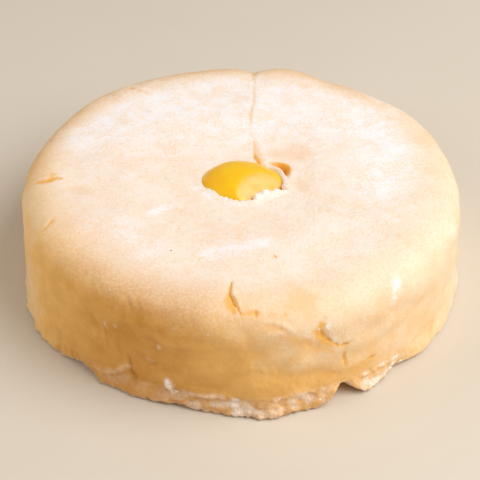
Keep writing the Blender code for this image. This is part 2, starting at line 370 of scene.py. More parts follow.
# Where it bulges and dents: azimuth, half width and amount. The lifts raise the trimmed edge.
shoulderLobes = (
    (32, 9, 0.7 * mm),
    (62, 6, -0.8 * mm),
    (76, 6, 0.9 * mm),
    (86, 4, -1.2 * mm),
    (118, 14, 0.3 * mm),
    (140, 9, 0.5 * mm),
    (200, 16, -0.3 * mm),
    (292, 24, 0.5 * mm),
)
footLobes = (
    (15, 20, 0.5 * mm),
    (52, 9, -0.6 * mm),
    (80, 12, 0.7 * mm),
    (118, 10, -0.5 * mm),
    (150, 12, 0.4 * mm),
    (187, 4, -0.6 * mm),
    (210, 7, 0.5 * mm),
    (227, 5, -1.2 * mm),
    (254, 7, -0.5 * mm),
    (277, 9, 1.7 * mm),
    (291, 5, 0.8 * mm),
    (296, 2.6, -1.6 * mm),
    (301, 3, 1 * mm),
    (312, 5, -1.2 * mm),
)
footLifts = (
    (40, 6, 0.9 * mm),
    (101, 5, 1.1 * mm),
    (163, 7, 0.7 * mm),
    (227, 5, 0.8 * mm),
    (254, 6, 0.5 * mm),
    (295, 4, 3.3 * mm),
    (315, 8, 0.6 * mm),
)
footLedges = ((272, 22, 1), (306, 9, 1), (70, 25, 0.6))  # where the trimmed edge is a ledge, not a flare

# Where the lip's edge lies on the chestnut, in degrees above its waist
lipEdge = {
    "level": 30,
    "lobes": ((187, 20, 4), (220, 17, 9), (250, 12, 4), (307, 20, 12), (339, 5, -10)),
    "jag": 2.0,  # degrees of raggedness, most of it in front
    "jagAzimuth": 280,
    "jagHalfWidth": 60,
}

# Sections across the lip: distance out in mm, share of the climb to the top skin, and mm above that
plainLip = ((0, 0, 0), (0.25, 0.3, 0.08), (0.6, 0.6, 0.1), (1.1, 0.9, 0.05), (1.7, 1.0, 0.0), (2.3, 1.0, 0))
tornLip = ((0, 0, 0), (0.55, 0.6, 0.1), (1.25, 0.92, 0.02), (1.7, 0.5, -1.1), (2.9, 1, -0.15), (4.6, 1, 0))
plainLip = [Vector(point) for point in plainLip]
tornLip = [Vector(point) for point in tornLip]
flap = {"azimuth": 34, "halfWidth": 19, "steepness": 1.4}
crumbLip = {"azimuth": 305, "halfWidth": 34, "rise": 0.35 * mm}

# The crumbs of the torn edges: their sizes, and how far they stand out at the lip and at the foot
crumble = {
    "coarseSize": 1.5 * mm,
    "fineSize": 0.7 * mm,
    "lipCoarse": 0.8 * mm,
    "lipFine": 0.16 * mm,
    "footCoarse": 0.6 * mm,
    "footFine": 0.35 * mm,
    "footSunk": 0.3 * mm,
    "footShare": 0.12,  # how crumbly the foot is all round
    "footLobes": ((270, 20, 1), (306, 8, 1)),
}


def flapShare(azimuth):
    return lobe(azimuth, flap["azimuth"], flap["halfWidth"]) ** flap["steepness"]


def topHeight(place):
    away = (place - nut["centre"]).to_2d().length - nut["halfLength"]
    return wrap["height"] - wrap["holeDip"] * math.exp(-((max(away, 0) / wrap["holeDipReach"]) ** 2))


@functools.cache
def shoulderRadius(azimuth):
    return wrap["radius"] + lobes(azimuth, shoulderLobes)


def cupPoint(azimuth, share):
    jag = noise.noise(outward(azimuth) * 9 + Vector((3, 1, 2))) + 0.7 * noise.noise(outward(azimuth) * 23)
    top = lipEdge["level"] + lobes(azimuth, lipEdge["lobes"])
    top += lipEdge["jag"] * jag * (0.2 + lobe(azimuth, lipEdge["jagAzimuth"], lipEdge["jagHalfWidth"]))
    return nutPoint(azimuth, -math.pi / 2 + share * (math.pi / 2 + math.radians(top)), wrap["nutGap"])


@functools.cache
def lipStart(azimuth):
    return cupPoint(azimuth, 1)


@functools.cache
def lipSection(azimuth):
    share = flapShare(azimuth)
    return [plain.lerp(torn, share) for plain, torn in zip(plainLip, tornLip)]


def lipPoint(azimuth, share):
    start = lipStart(azimuth)
    out, climb, extra = along(lipSection(azimuth), share)
    place = start + outward(azimuth) * out * mm
    rise = lobe(azimuth, crumbLip["azimuth"], crumbLip["halfWidth"]) * math.sin(math.pi * share)
    place.z = start.z + (topHeight(place) - start.z) * climb + extra * mm + crumbLip["rise"] * rise
    return place


@functools.cache
def topEnds(azimuth):
    return lipPoint(azimuth, 1), outward(azimuth) * (shoulderRadius(azimuth) - wrap["shoulderReach"])


def topPoint(azimuth, share):
    inner, outer = topEnds(azimuth)
    place = inner.lerp(outer, share**1.2)
    place.z = topHeight(place)
    return place


def shoulderPoint(azimuth, share):
    turn = share * math.pi / 2
    fullness = 2 / wrap["shoulderFullness"]
    reach = wrap["shoulderReach"] * (1 - math.sin(turn) ** fullness)
    drop = wrap["shoulderDrop"] * (1 - max(math.cos(turn), 0.0) ** fullness)
    place = outward(azimuth) * (shoulderRadius(azimuth) - reach)
    place.z = wrap["height"] - drop
    return place


@functools.cache
def sideEnds(azimuth):
    waist = wrap["waistRadius"] + 0.7 * lobes(azimuth, [bulge for bulge in footLobes if bulge[1] > 5])
    return shoulderPoint(azimuth, 1), outward(azimuth) * waist


def sidePoint(azimuth, share):
    start, stop = sideEnds(azimuth)
    place = start.lerp(stop, smooth(share))
    place.z = start.z + (wrap["footHeight"] - start.z) * share
    return place


@functools.cache
def footSection(azimuth):
    ragged = noise.noise(outward(azimuth) * (wrap["footRadius"] / wrap["raggedSize"]))
    nibbled = noise.noise(outward(azimuth) * (wrap["footRadius"] / wrap["nibbleSize"]))
    nibbled *= 1 + lobes(azimuth, [wrap["nibbleMore"]])
    edge = wrap["footRadius"] + lobes(azimuth, footLobes)
    edge += wrap["raggedHeight"] * ragged + wrap["nibbleHeight"] * nibbled
    lift = lobes(azimuth, footLifts) + 0.12 * mm * (1 + nibbled)
    waist = sidePoint(azimuth, 1).to_2d().length
    high = wrap["footHeight"]
    ledge = min(1.0, lobes(azimuth, footLedges))
    section = (
        (waist, high, 0),
        (waist + (0.3 - 0.2 * ledge) * (edge - waist), high * 0.72 + lift * 0.3, 0),
        (waist + 0.6 * (edge - waist), high * 0.45 + lift * 0.7, 0),
        (edge, 0.7 * mm + lift, 0),
        (edge - 0.3 * mm, 0.2 * mm + lift, 0),
        (edge - 1.6 * mm, lift * 0.85, 0),
        (wrap["restRadius"] + 2.2 * mm, lift * 0.35, 0),
        (wrap["restRadius"], 0.0, 0),
    )
    return [Vector(point) for point in section]


def footPoint(azimuth, share):
    radius, height, _ = along(footSection(azimuth), share)
    place = outward(azimuth) * radius
    place.z = max(height, 0.0)
    return place


def restPoint(azimuth, share):
    return outward(azimuth) * (wrap["restRadius"] * (1 - share))


bandPoints = (cupPoint, lipPoint, topPoint, shoulderPoint, sidePoint, footPoint, restPoint)


def skinPoint(azimuth, station):  # the whole part of station is the band, and the rest the place in it
    band = min(int(station + 1e-5), len(bandPoints) - 1)
    return bandPoints[band](azimuth, min(max(station - band, 0.0), 1.0))


# Creases, tears, folds and flecks of the skin. The run's points, the half width and the depth are in
# mm, and a ridge has a negative depth. "left" and "right" are how far the edge stands up on that side
# of the run, seen from outside. "tone" is how orange the floor is and "spread" how many half widths
# that colour reaches; a soft one has no darker core. "white" and "floorWhite" are how white the raised
# edge and the floor or ridge are. Thin lines fray, apart from clean ones.
skinLines = {
    "seam": dict(
        run=((3, 10.5, 25.2), (2.4, 16.3, 25.5), (2.2, 22.1, 25.5), (3.3, 28.4, 25.5), (3.1, 38.9, 25.5)),
        width=0.4, depth=0.14, tone=0.32, spread=1.5,
    ),
    "seamRoot": dict(
        run=((4.8, 1.6, 23.6), (3.9, 4.8, 24.4), (3.1, 8, 25), (2.8, 11, 25.3), (2.9, 13.6, 25.4)),
        width=0.55, depth=0.6, left=0.08, tone=1, spread=2.3,
    ),
    "seamRim": dict(
        run=((3.1, 37, 25.5), (3.4, 44.2, 24.6), (3.4, 47.4, 17.5), (3.3, 47.5, 7)),
        width=0.9, depth=0.55, tone=0.25, spread=1.2,
    ),
    "leftTear": dict(
        run=((-43.9, -2.6, 24.5), (-42.5, -3, 25), (-41.2, -3, 25.3), (-40.4, -2.5, 25.4),
             (-39.4, -2.3, 25.5), (-38.1, -2.4, 25.5)),
        width=0.55, depth=0.32, left=0.12, tone=0.85, spread=1.8,
    ),
    "leftTearBlush": dict(
        run=((-40.4, -0.8, 25.4), (-39.8, -1.9, 25.5)),
        width=0.8, depth=0.03, tone=0.4, soft=True,
    ),
    "leftTearShade": dict(run=((-36.5, -5.4, 25.5), (-31.6, -8, 25.5)), width=2.2, depth=0.08, tone=0.18),
    "leftCrease": dict(
        run=((-41.7, -18.8, 23.2), (-40.5, -19, 24.1), (-39.6, -18.6, 24.6), (-38.9, -17.6, 25),
             (-38.1, -16.4, 25.3)),
        width=0.34, depth=0.26, left=0.1, tone=0.6, spread=1.6, clean=True,
    ),
    "frontTear": dict(
        run=((-1.5, -37.8, 25.5), (-1.9, -39.6, 25.5), (-1.9, -41.2, 25.3), (-1.5, -42.2, 25.1),
             (-1.2, -43.3, 24.8), (-0.6, -44.1, 24.5), (0.1, -45.2, 23.8)),
        width=0.42, depth=0.5, left=0.26, tone=0.95, spread=1.6,
    ),
    "frontTearBlush": dict(
        run=((-2.3, -41.6, 25.2), (-1.9, -43.4, 24.7), (-1.1, -44.9, 24.1)),
        width=0.95, depth=0.12, tone=0.62, soft=True,
    ),
    "frontTearEnd": dict(
        run=((0.1, -45.2, 23.8), (1.4, -45, 23.8), (2.1, -44.9, 23.9), (3, -44.9, 23.8),
             (4.2, -45, 23.7)),
        width=0.55, depth=0.14, left=0.14, tone=0.5, spread=2,
    ),
    "frontNick": dict(
        run=((2.9, -44.5, 24.2), (3.1, -45.7, 23.3)),
        width=0.36, depth=0.35, tone=0.85, spread=1.6,
    ),
    "frontSpot": dict(
        run=((8.2, -44.6, 23.4), (9, -44.9, 23.1)),
        width=0.5, depth=0.15, tone=0.5, spread=1.8,
    ),
    "shoulderBlush": dict(
        run=((9.5, -43.4, 24.2), (14, -41.5, 24.6)),
        width=3.4, depth=0.15, tone=0.25, soft=True,
    ),
    "sideTear": dict(
        run=((16.4, -43.8, 21.9), (15.9, -44.6, 20.3), (15.7, -44.9, 19.1), (16.7, -44.6, 17.5),
             (18.2, -44, 15.8), (19.3, -43.5, 14.8)),
        width=0.5, depth=0.4, left=0.12, tone=0.95, spread=2, white=0.3,
    ),
    "sideTearBlush": dict(
        run=((15.5, -44.5, 21.2), (15.2, -45, 19.4), (16.3, -44.7, 17.2), (17.9, -44.1, 15.2)),
        width=0.95, depth=0.1, tone=0.8, soft=True,
    ),
    "sideFlake": dict(
        run=((17.6, -44.3, 21.2), (17, -44.7, 20.5), (16.4, -45.1, 19.5)),
        width=0.36, depth=-0.3, floorWhite=1.1, clean=True,
    ),
    "sideFlakeLow": dict(
        run=((17.6, -44.7, 18.3), (18.4, -44.3, 16.8), (19, -44.1, 15.8)),
        width=0.3, depth=-0.15, floorWhite=0.7, clean=True,
    ),
    "sideTearEnd": dict(
        run=((19.3, -43.5, 14.8), (20.4, -43, 14.7), (21.6, -42.4, 15.1)),
        width=0.45, depth=0.4, left=0.1, tone=1, spread=1.7,
    ),
    "sideTearCurl": dict(
        run=((21.6, -42.4, 15.1), (22.1, -42.1, 16.4), (21.8, -42.3, 18.1)),
        width=0.3, depth=0.12, tone=0.35, spread=1.8,
    ),
    "sideSplit": dict(
        run=((20, -43.2, 14.9), (20.3, -43, 11.4), (21, -42.7, 7.6)),
        width=0.36, depth=0.45, right=0.14, tone=0.95, spread=1.4, clean=True,
    ),
    "sideSpot": dict(
        run=((25.6, -40.2, 7.8), (27, -39.2, 7.8)),
        width=0.4, depth=0.3, tone=0.8, spread=1.6,
    ),
    # The ridges of foldHigh and foldLow are whitened by floorWhite as a painted highlight.
    "foldHigh": dict(
        run=((4.6, -45.9, 22.9), (8, -46, 22), (9.6, -46.2, 20.9), (10.9, -46.1, 19.9)),
        width=0.5, depth=-0.5, floorWhite=0.36, clean=True,
    ),
    "foldHighShade": dict(
        run=((4.2, -46.4, 22), (7.4, -46.5, 21.5), (9.6, -46.2, 20.2)),
        width=0.8, depth=0.06, tone=0.25, spread=1.2, soft=True,
    ),
    "foldLow": dict(
        run=((3.6, -47.3, 19.3), (5.5, -47, 20.2), (7.2, -46.7, 20.6), (9.4, -46.4, 20.2)),
        width=0.5, depth=-0.4, floorWhite=0.3, clean=True,
    ),
    "foldLong": dict(
        run=((10.9, -46.1, 19.9), (13.9, -45.5, 18.3), (15.9, -44.9, 16.6), (18.7, -43.8, 14.6)),
        width=0.8, depth=-0.26, tone=0.12, spread=1.5,
    ),
    "foldLongShade": dict(
        run=((8.2, -46.3, 20), (10.8, -46.3, 18.4), (14.6, -45.4, 15.7), (18, -44.1, 13.6)),
        width=0.9, depth=0.05, tone=0.4, spread=1.4, soft=True,
    ),
    "wrinkleA": dict(
        run=((-22.3, -39.4, 23.8), (-21.8, -40.6, 23), (-21.2, -41.7, 21.7)),
        width=0.45, depth=0.24, left=0.14, tone=0.12,
    ),
    "wrinkleB": dict(run=((-24.1, -37.2, 24.3), (-23.3, -39, 23.5)), width=0.4, depth=0.2, tone=0.1),
    "wrinkleC": dict(
        run=((-20, -40.9, 23.4), (-19.2, -42.6, 21.9)),
        width=0.4, depth=0.2, left=0.1, tone=0.1,
    ),
    "wrinkleD": dict(run=((-27.9, -35.4, 23.8), (-27, -37.6, 22.6)), width=0.4, depth=0.18, tone=0.1),
    # its orange tone is painted shade in the dent
    "softDent": dict(
        run=((1.1, -47.2, 20.6), (2, -47.6, 17.3), (3.8, -47.4, 14.2), (6, -47, 12)),
        width=1.8, depth=0.32, tone=0.25, soft=True,
    ),
    "frontBulge": dict(run=((9, -46.9, 14.5), (13, -45.9, 12)), width=4, depth=-0.5),
    # its orange tone is painted shade in the hollow
    "footHollow": dict(
        run=((0, -47.5, 9.8), (2.9, -47.5, 10.4), (8.8, -46.8, 9.2), (14.8, -45.2, 8.6), (19, -43.5, 7)),
        width=2.4, depth=0.6, tone=0.3, soft=True,
    ),
    "curledFleck": dict(
        run=((-26.4, -39.5, 17.2), (-26.9, -39.2, 16.4), (-26.3, -39.6, 15.4)),
        width=0.3, depth=-0.3, floorWhite=0.5,
    ),
    "smallFleck": dict(
        run=((-24.6, -40.8, 17.3), (-24.9, -40.5, 16.6)),
        width=0.26, depth=-0.25, floorWhite=0.4,
    ),
    # The pimples' floorWhite is a painted highlight on their tops.
    "pimple": dict(run=((-16.3, -44.8, 15.3), (-15.5, -45, 15.1)), width=0.65, depth=-0.5, floorWhite=0.5),
    "pimpleLow": dict(
        run=((-18.6, -43.8, 11.1), (-17.2, -44.4, 10.9)),
        width=0.7, depth=-0.3, floorWhite=0.2,
    ),
    "pimpleLeft": dict(
        run=((-25.6, -37.3, 23.8), (-25.3, -37.6, 23.6)),
        width=0.35, depth=-0.25, floorWhite=0.45,
    ),
    "pimpleMiddle": dict(
        run=((-6.4, -46.9, 20.3), (-6, -46.9, 20.1)),
        width=0.35, depth=-0.3, floorWhite=0.5,
    ),
    "pimpleHigh": dict(
        run=((-13.2, -45.7, 20.6), (-12.8, -45.8, 20.3)),
        width=0.4, depth=-0.3, floorWhite=0.5,
    ),
    "pimpleFront": dict(
        run=((14.3, -45.3, 16.3), (14.9, -45.1, 16)),
        width=0.5, depth=-0.4, floorWhite=0.7,
    ),
    "leftPleat": dict(
        run=((-30, -36.5, 19), (-28, -38.3, 14), (-27.4, -38.8, 9)),
        width=1.3, depth=0.4, left=0.1, tone=0.08,
    ),
    "leftStretch": dict(
        run=((-19.5, -43.2, 18.2), (-13, -45.6, 16.2), (-5, -47.3, 16.8)),
        width=1, depth=-0.28,
    ),
    "leftStretchLow": dict(
        run=((-20, -43, 13.2), (-12.7, -45.7, 12.4), (-6, -47.1, 13.6)),
        width=1.2, depth=0.35, tone=0.15, soft=True,
    ),
    "edgePleat": dict(
        run=((-47.2, -3, 20.5), (-47.6, -4.2, 16), (-47.5, -3.6, 12)),
        width=0.9, depth=0.3, tone=0.2, soft=True,
    ),
    "farLeftPleat": dict(run=((-43.2, -19.8, 16), (-41.8, -22.6, 9)), width=1.8, depth=0.35),
    "leftGroove": dict(
        run=((-26.4, -39.6, 15.4), (-26.6, -39.5, 12.4), (-26.3, -39.7, 9.4)),
        width=0.5, depth=0.4, left=0.18, tone=0.1,
    ),
    "leftGrooveLow": dict(
        run=((-24.2, -40.9, 14.1), (-24.2, -41, 11.4), (-23.4, -41.4, 9)),
        width=0.7, depth=0.35, right=0.14, tone=0.1,
    ),
    "flakeTop": dict(
        run=((-29.9, -37, 2.9), (-27.6, -38.8, 3.2), (-24.9, -40.6, 4.9), (-22.6, -41.9, 7.6),
             (-21.4, -42.5, 7.2)),
        width=0.7, depth=-0.7, floorWhite=0.25,
    ),
    "flakeFace": dict(
        run=((-27.8, -38.6, 1.6), (-24.6, -40.8, 3.2), (-22.4, -42, 4.6)),
        width=1.5, depth=-0.3, floorWhite=0.22,
    ),
    "flakeGroove": dict(
        run=((-22.3, -42, 11), (-21.8, -42.3, 7.2), (-20.9, -42.8, 5.2), (-21.1, -42.7, 2.6)),
        width=0.5, depth=0.65, left=0.25, tone=0.15,
    ),
    "tornTab": dict(
        run=((-14.5, -45.4, 7.2), (-14.3, -45.4, 5.2), (-13.6, -45.7, 3.4)),
        width=0.8, depth=-1, floorWhite=1.6,
    ),
    "footFold": dict(
        run=((-13.6, -45.7, 4.4), (-10.8, -46.4, 4.1), (-7, -47.1, 4), (-4, -47.4, 4.3), (1, -47.9, 4.5)),
        width=0.5, depth=-0.4, floorWhite=0.5,
    ),
    "footFoldShade": dict(
        run=((-12.4, -46.2, 5.6), (-8, -46.9, 6.1), (-3, -47.5, 5.9), (1.5, -47.9, 6.1)),
        width=0.9, depth=0.3, tone=0.15,
    ),
    "footFoldRight": dict(
        run=((2, -48.3, 4.9), (6.4, -47.8, 4.3), (11.5, -46.8, 4.6), (16, -45, 4.4)),
        width=0.7, depth=-0.35, floorWhite=0.2,
    ),
    "topFleck": dict(run=((6.7, -28.9, 25.5), (7.2, -29.9, 25.5)), width=0.3, depth=0.12, tone=0.7),
    "topFleckInner": dict(run=((5.7, -17, 25.4), (5.9, -18, 25.4)), width=0.35, depth=0.08, tone=0.4),
    # painted shade: an orange tint in the shallow dip behind the hole
    "backDipShade": dict(run=((6, 8.3, 25), (15.5, 7.2, 25.4)), width=3.2, depth=0.05, tone=0.22, soft=True),
    "rimBlush": dict(
        run=((13.5, 35.5, 25.5), (16.5, 33.8, 25.5)),
        width=1.4, depth=0.1, tone=0.2, soft=True,
    ),
    "lipBlush": dict(run=((12.3, -1, 24.8), (13.5, -6, 25)), width=1.8, depth=0.05, tone=0.2, soft=True),
    "backCrease": dict(
        run=((-28.5, 35.5, 23), (-25.5, 34, 24.8), (-21, 30.5, 25.5)),
        width=0.6, depth=0.4, left=0.1, tone=0.5, spread=1.6,
    ),
    "backSplit": dict(
        run=((21, 42.6, 19), (22.3, 42, 15.5), (21.6, 42.4, 12), (23.2, 41.5, 8.5)),
        width=0.4, depth=0.4, left=0.15, tone=0.7, spread=1.8,
    ),
    "backFold": dict(
        run=((-36, 31, 9), (-28, 38.5, 11.5), (-19, 43.5, 10)),
        width=1.4, depth=-0.3, tone=0.1,
    ),
    "backDent": dict(run=((-12, 46, 17), (-9, 46.7, 12)), width=2.2, depth=0.35, tone=0.1),
    "rightDent": dict(run=((45.5, 13, 15), (44, 18, 11)), width=2.2, depth=0.3, tone=0.08),
}
noiseSeat = Vector((31, 7, 19))
noise.seed_set(4)  # noise_vector takes its offsets from this, so that the tears fray alike every run
fray = {
    "thin": 0.8,  # lines with a smaller half width than this, in mm, fray and have flat floors
    "size": 1.5 * mm,
    "reach": 0.28 * mm,
    "fineSize": 0.7 * mm,
    "fineReach": 0.08 * mm,
    "wanderSize": 1.3 * mm,
    "wander": 0.45,  # share by which the width of a line wanders
}

# Where flour lies thick: points in mm, half width in mm, how white
flouredLines = (
    (((-18.9, -15.3, 25.5), (-16.7, -12.9, 25.5), (-13.4, -11.3, 25.5)), 0.9, 1),
    (((-6.2, -28.7, 25.5), (-1.6, -27.8, 25.5), (4.6, -24.8, 25.5)), 1.7, 0.9),
    (((-23.8, -19.4, 25.5), (-18.7, -27.1, 25.5)), 3.2, 0.45),
    (((-24.8, -1.8, 25.5), (-23.6, -1, 25.5)), 1, 0.7),
    (((30.8, -34.3, 22.9), (29.8, -36.5, 20.1)), 1, 1),
    (((-13, 29, 25.5), (0, 30.3, 25.5)), 4.5, 0.7),
    (((13.4, 18.2, 25.5), (21.4, 20.8, 25.5)), 2.8, 1),
    (((29.8, 20.8, 25.5), (32.4, 8.1, 25.5), (29.7, -5.1, 25.5)), 4.5, 0.6),
    (((-36.6, 12.8, 25.5), (-26, 20, 25.5)), 5.5, 0.55),
    (((2.2, 14, 25.5), (2.4, 22, 25.5), (1, 33, 25.5)), 1.8, 0.6),
    (((-9.5, -4.5, 25), (-5, -9.6, 25), (0.5, -10.9, 25)), 0.9, 0.8),
    (((36, 22, 24), (30, 33, 23)), 4, 0.5),
    (((-20, 38, 23), (-34, 28, 21)), 4, 0.4),
)


def measured(path):
    middle = sum(path, Vector()) / len(path)
    return middle, max((point - middle).length for point in path)


for line in skinLines.values():
    line["thin"] = line["width"] < fray["thin"]
    line["path"] = [Vector(point) * mm for point in line["run"]]
    line["middle"], line["reach"] = measured(line["path"])
    line["reach"] += (6.5 if line["thin"] else 3.5) * line["width"] * mm
flourRuns = []
for run, width, amount in flouredLines:
    path = [Vector(point) * mm for point in run]
    middle, reach = measured(path)
    flourRuns.append((path, middle, reach + 2.5 * width * mm, width * mm, amount))


def nearestOn(path, place):  # distance, share of the way along, the step there, and the way from it
    best = (math.inf, 0.0, None, None)
    for index, (start, stop) in enumerate(zip(path, path[1:])):
        step = stop - start
        share = min(1.0, max(0.0, (place - start).dot(step) / step.length_squared))
        away = place - start - step * share
        if away.length < best[0]:
            best = (away.length, (index + share) / (len(path) - 1), step, away)
    return best


def skinMarks(place, normal):  # how far the lines move the skin at a place, and their two colours there
    move = tone = white = 0.0
    frayed = place + noise.noise_vector(place / fray["size"]) * fray["reach"]
    frayed += noise.noise_vector(place / fray["fineSize"]) * fray["fineReach"]
    wander = 1 + fray["wander"] * noise.noise(place / fray["wanderSize"] + noiseSeat)
    for line in skinLines.values():
        if (place - line["middle"]).length > line["reach"]:
            continue
        isFrayed = line["thin"] and not line.get("clean")
        distance, share, step, away = nearestOn(line["path"], frayed if isFrayed else place)
        halfWidth = line["width"] * mm
        taper = 0.35 + 0.65 * math.sin(math.pi * min(1.0, max(0.0, share)))
        across = distance / (halfWidth * taper * wander)
        onLeft = smooth(0.5 + step.cross(away).dot(normal) / (step.length * halfWidth * 0.8))
        isCut = line["thin"] and line["depth"] > 0
        floor = math.exp(-(across ** (4 if isCut else 2)))
        edge = line.get("left", 0.0) * onLeft + line.get("right", 0.0) * (1 - onLeft)
        rim = smooth((across - 0.3) / 0.9) * math.exp(-((across / 3) ** 2)) * taper
        move += (edge * rim - line["depth"] * floor * taper) * mm
        spread = line.get("spread", 1.0)
        spread *= 1 - 0.6 * onLeft * bool(line.get("left"))  # under a lifted edge the colour stops short
        core = 1.0 if line.get("soft") else 0.4 + 0.6 * math.exp(-(across**4))
        tone = max(tone, line.get("tone", 0.0) * core * math.exp(-((across / (1.5 * spread)) ** 2)))
        rawEdge = rim * onLeft * math.exp(-(((across - 1.7) / 0.8) ** 2))
        white = max(white, line.get("white", 0.0) * rawEdge * 2, line.get("floorWhite", 0.0) * floor)
    return move, min(tone, 1.0), white


def flourAt(place):
    amount = 0.0
    for path, middle, reach, width, strength in flourRuns:
        if (place - middle).length < reach:
            distance = nearestOn(path, place)[0] / width
            amount = max(amount, strength * math.exp(-distance * distance))
    return amount


def turnedBlank(corners, rows, columns):  # corners are (radius, height, station) from pole to pole
    bm = bmesh.new()
    stations = bm.verts.layers.float.new("station")
    tip = bm.verts.new((corners[0][0], 0, corners[0][1]))
    for start, stop, count in zip(corners, corners[1:], rows):
        for row in range(1, count + 1):
            tip = bmesh.ops.extrude_vert_indiv(bm, verts=[tip])["verts"][0]
            radius, height, station = Vector(start).lerp(Vector(stop), row / count)
            tip.co = (radius, 0, height)
            tip[stations] = station
    outline = list(bm.verts) + list(bm.edges)
    turn = {"cent": (0, 0, 0), "axis": (0, 0, 1), "angle": 2 * math.pi}
    bmesh.ops.spin(bm, geom=outline, steps=columns, use_merge=True, **turn)
    bmesh.ops.remove_doubles(bm, verts=bm.verts, dist=0.001 * mm)
    bmesh.ops.recalc_face_normals(bm, faces=bm.faces)
    return bm, stations


def grains(place, size):  # rounded crumbs side by side: near 1 on their tops, 0 in the joints
    return max(0.0, 1 - 1.25 * noise.voronoi(place / size)[0][0])


def crumbleAt(station, azimuth):  # how crumbly the torn edges are, at the hole and at the foot
    hole = 1 - smooth(abs(station - 1.25) / 0.75)
    hole *= lobe(azimuth, crumbLip["azimuth"], crumbLip["halfWidth"])
    hole += 0.3 * (1 - smooth(abs(station - 1.1) / 0.3)) * lobe(azimuth, 235, 40)
    outer = smooth((station - 4.93) / 0.1) * (1 - smooth((station - 5.6) / 0.12))
    foot = outer * min(1.0, crumble["footShare"] + lobes(azimuth, crumble["footLobes"]))
    return hole * (1 - flapShare(azimuth)), foot


def crumbleHeight(place, hole, foot):  # how far the crumbs of the torn edges stand out
    if max(hole, foot) <= 0.02:
        return 0.0
    coarse = grains(place, crumble["coarseSize"])
    fine = grains(place + noiseSeat, crumble["fineSize"])
    atHole = coarse * crumble["lipCoarse"] + fine * crumble["lipFine"]
    atFoot = coarse * crumble["footCoarse"] + fine * crumble["footFine"] - crumble["footSunk"]
    return hole * atHole + foot * atFoot


def unevenness(place, station):  # of the skin between its lines
    outside = smooth((station - 2.0) / 0.5)
    lump = noise.noise(place / wrap["lumpSize"]) * wrap["lumpHeight"] * outside
    dimple = noise.noise(place / wrap["dimpleSize"]) * wrap["dimpleHeight"] * outside
    pore = noise.noise(place / wrap["poreSize"]) * wrap["poreHeight"] * smooth((station - 1.6) / 0.5)
    squashed = Vector((place.x, place.y, place.z * 1.5)) / wrap["rippleSize"]
    ripple = noise.noise(squashed + noiseSeat) * wrap["rippleHeight"] * smooth((station - 3.4) / 0.5)
    return lump + dimple + pore + ripple


def makeWrap():
    # The blank's corners are radius and height in mm where its bands meet, from pole to pole. They only
    # set the order of the rows. The skin takes its form below.
    blank = ((0, 14), (11, 23), (13, 24), (38, 25), (47, 17), (47.5, 4), (41, 0), (0, 0))
    corners = [(radius * mm, height * mm, station) for station, (radius, height) in enumerate(blank)]
    bm, stations = turnedBlank(corners, wrap["rows"], wrap["columns"])
    print("blank turned:", len(bm.verts), "vertices")
    azimuths = []
    for vert in bm.verts:
        turned = math.atan2(vert.co.y, vert.co.x)
        azimuth = round(turned - wrap["bunching"] * math.sin(turned + math.pi / 2), 6)
        azimuths.append(azimuth)
        vert.co = skinPoint(azimuth, vert[stations])
    bm.normal_update()
    masks = {name: bm.verts.layers.float.new(name) for name in maskNames}
    moves = []
    for vert, azimuth in zip(bm.verts, azimuths):
        station = vert[stations]
        place = vert.co.copy()
        move, tone, white = skinMarks(place, vert.normal)
        move *= smooth((station - 1.9) / 0.15)
        move += unevenness(place, station)
        move *= 1 - smooth((station - 5.0) / 0.4)
        moves.append(vert.normal * (move + crumbleHeight(place, *crumbleAt(station, azimuth))))
        paintSkin(vert, masks, station, azimuth, tone, white)
    for vert, move in zip(bm.verts, moves):
        vert.co += move
        vert.co.z = max(vert.co.z, 0.0)
    bmesh.ops.recalc_face_normals(bm, faces=bm.faces)
    return bm


# Where the masks lie. Lobes are azimuth and half width in degrees, and most have an amount.
paint = {
    "creamRadius": 34 * mm,  # inside this the top is all cream
    "fade": 20 * mm,  # run of skin from there over which it turns gold
    # the cream reaches further down the lit right side, as painted highlight as well as flour, and less far
    # on the front left, as painted shade
    "fadeMore": ((-45, 45, 18 * mm), (-118, 25, -2.5 * mm)),
    "plain": 0.31,  # how pale the gold is all round
    # the left edge is paled as painted light and the front left darkened as painted shade
    "paler": ((-163, 28, 0.35), (-120, 26, -0.24)),
    "paleAndLit": (-8, 62),  # the right side, which the light falls on: palest, as painted highlight, and with a little flour
    # how much the right side is paled, as painted highlight, and how much flour it gets
    "litSidePale": 0.55,
    "litSideDust": 0.14,
    "frontPale": (-76, 18, 0.27),  # painted light on the front, only well above the foot
    "footDark": (-75, 40, 0.26),  # painted shade low on the front, only near the foot
    "dust": 0.42,
    "dustBehind": 0.55,
    "dustFade": 9 * mm,
    "flapRim": 0.26,  # the chestnut's yellow in the torn flap
    "innerLip": (280, 60),
    "fleckSize": 2 * mm,
    "footPlain": 0.24,
    "footWhite": ((308, 8, 0.75), (285, 7, 0.35), (266, 7, 0.45)),
    "footCrumb": 0.14,
    "cutEdge": 0.3,  # pale dough where the sheet was trimmed
    "cutEdgeMore": (214, 32, 0.3),
}


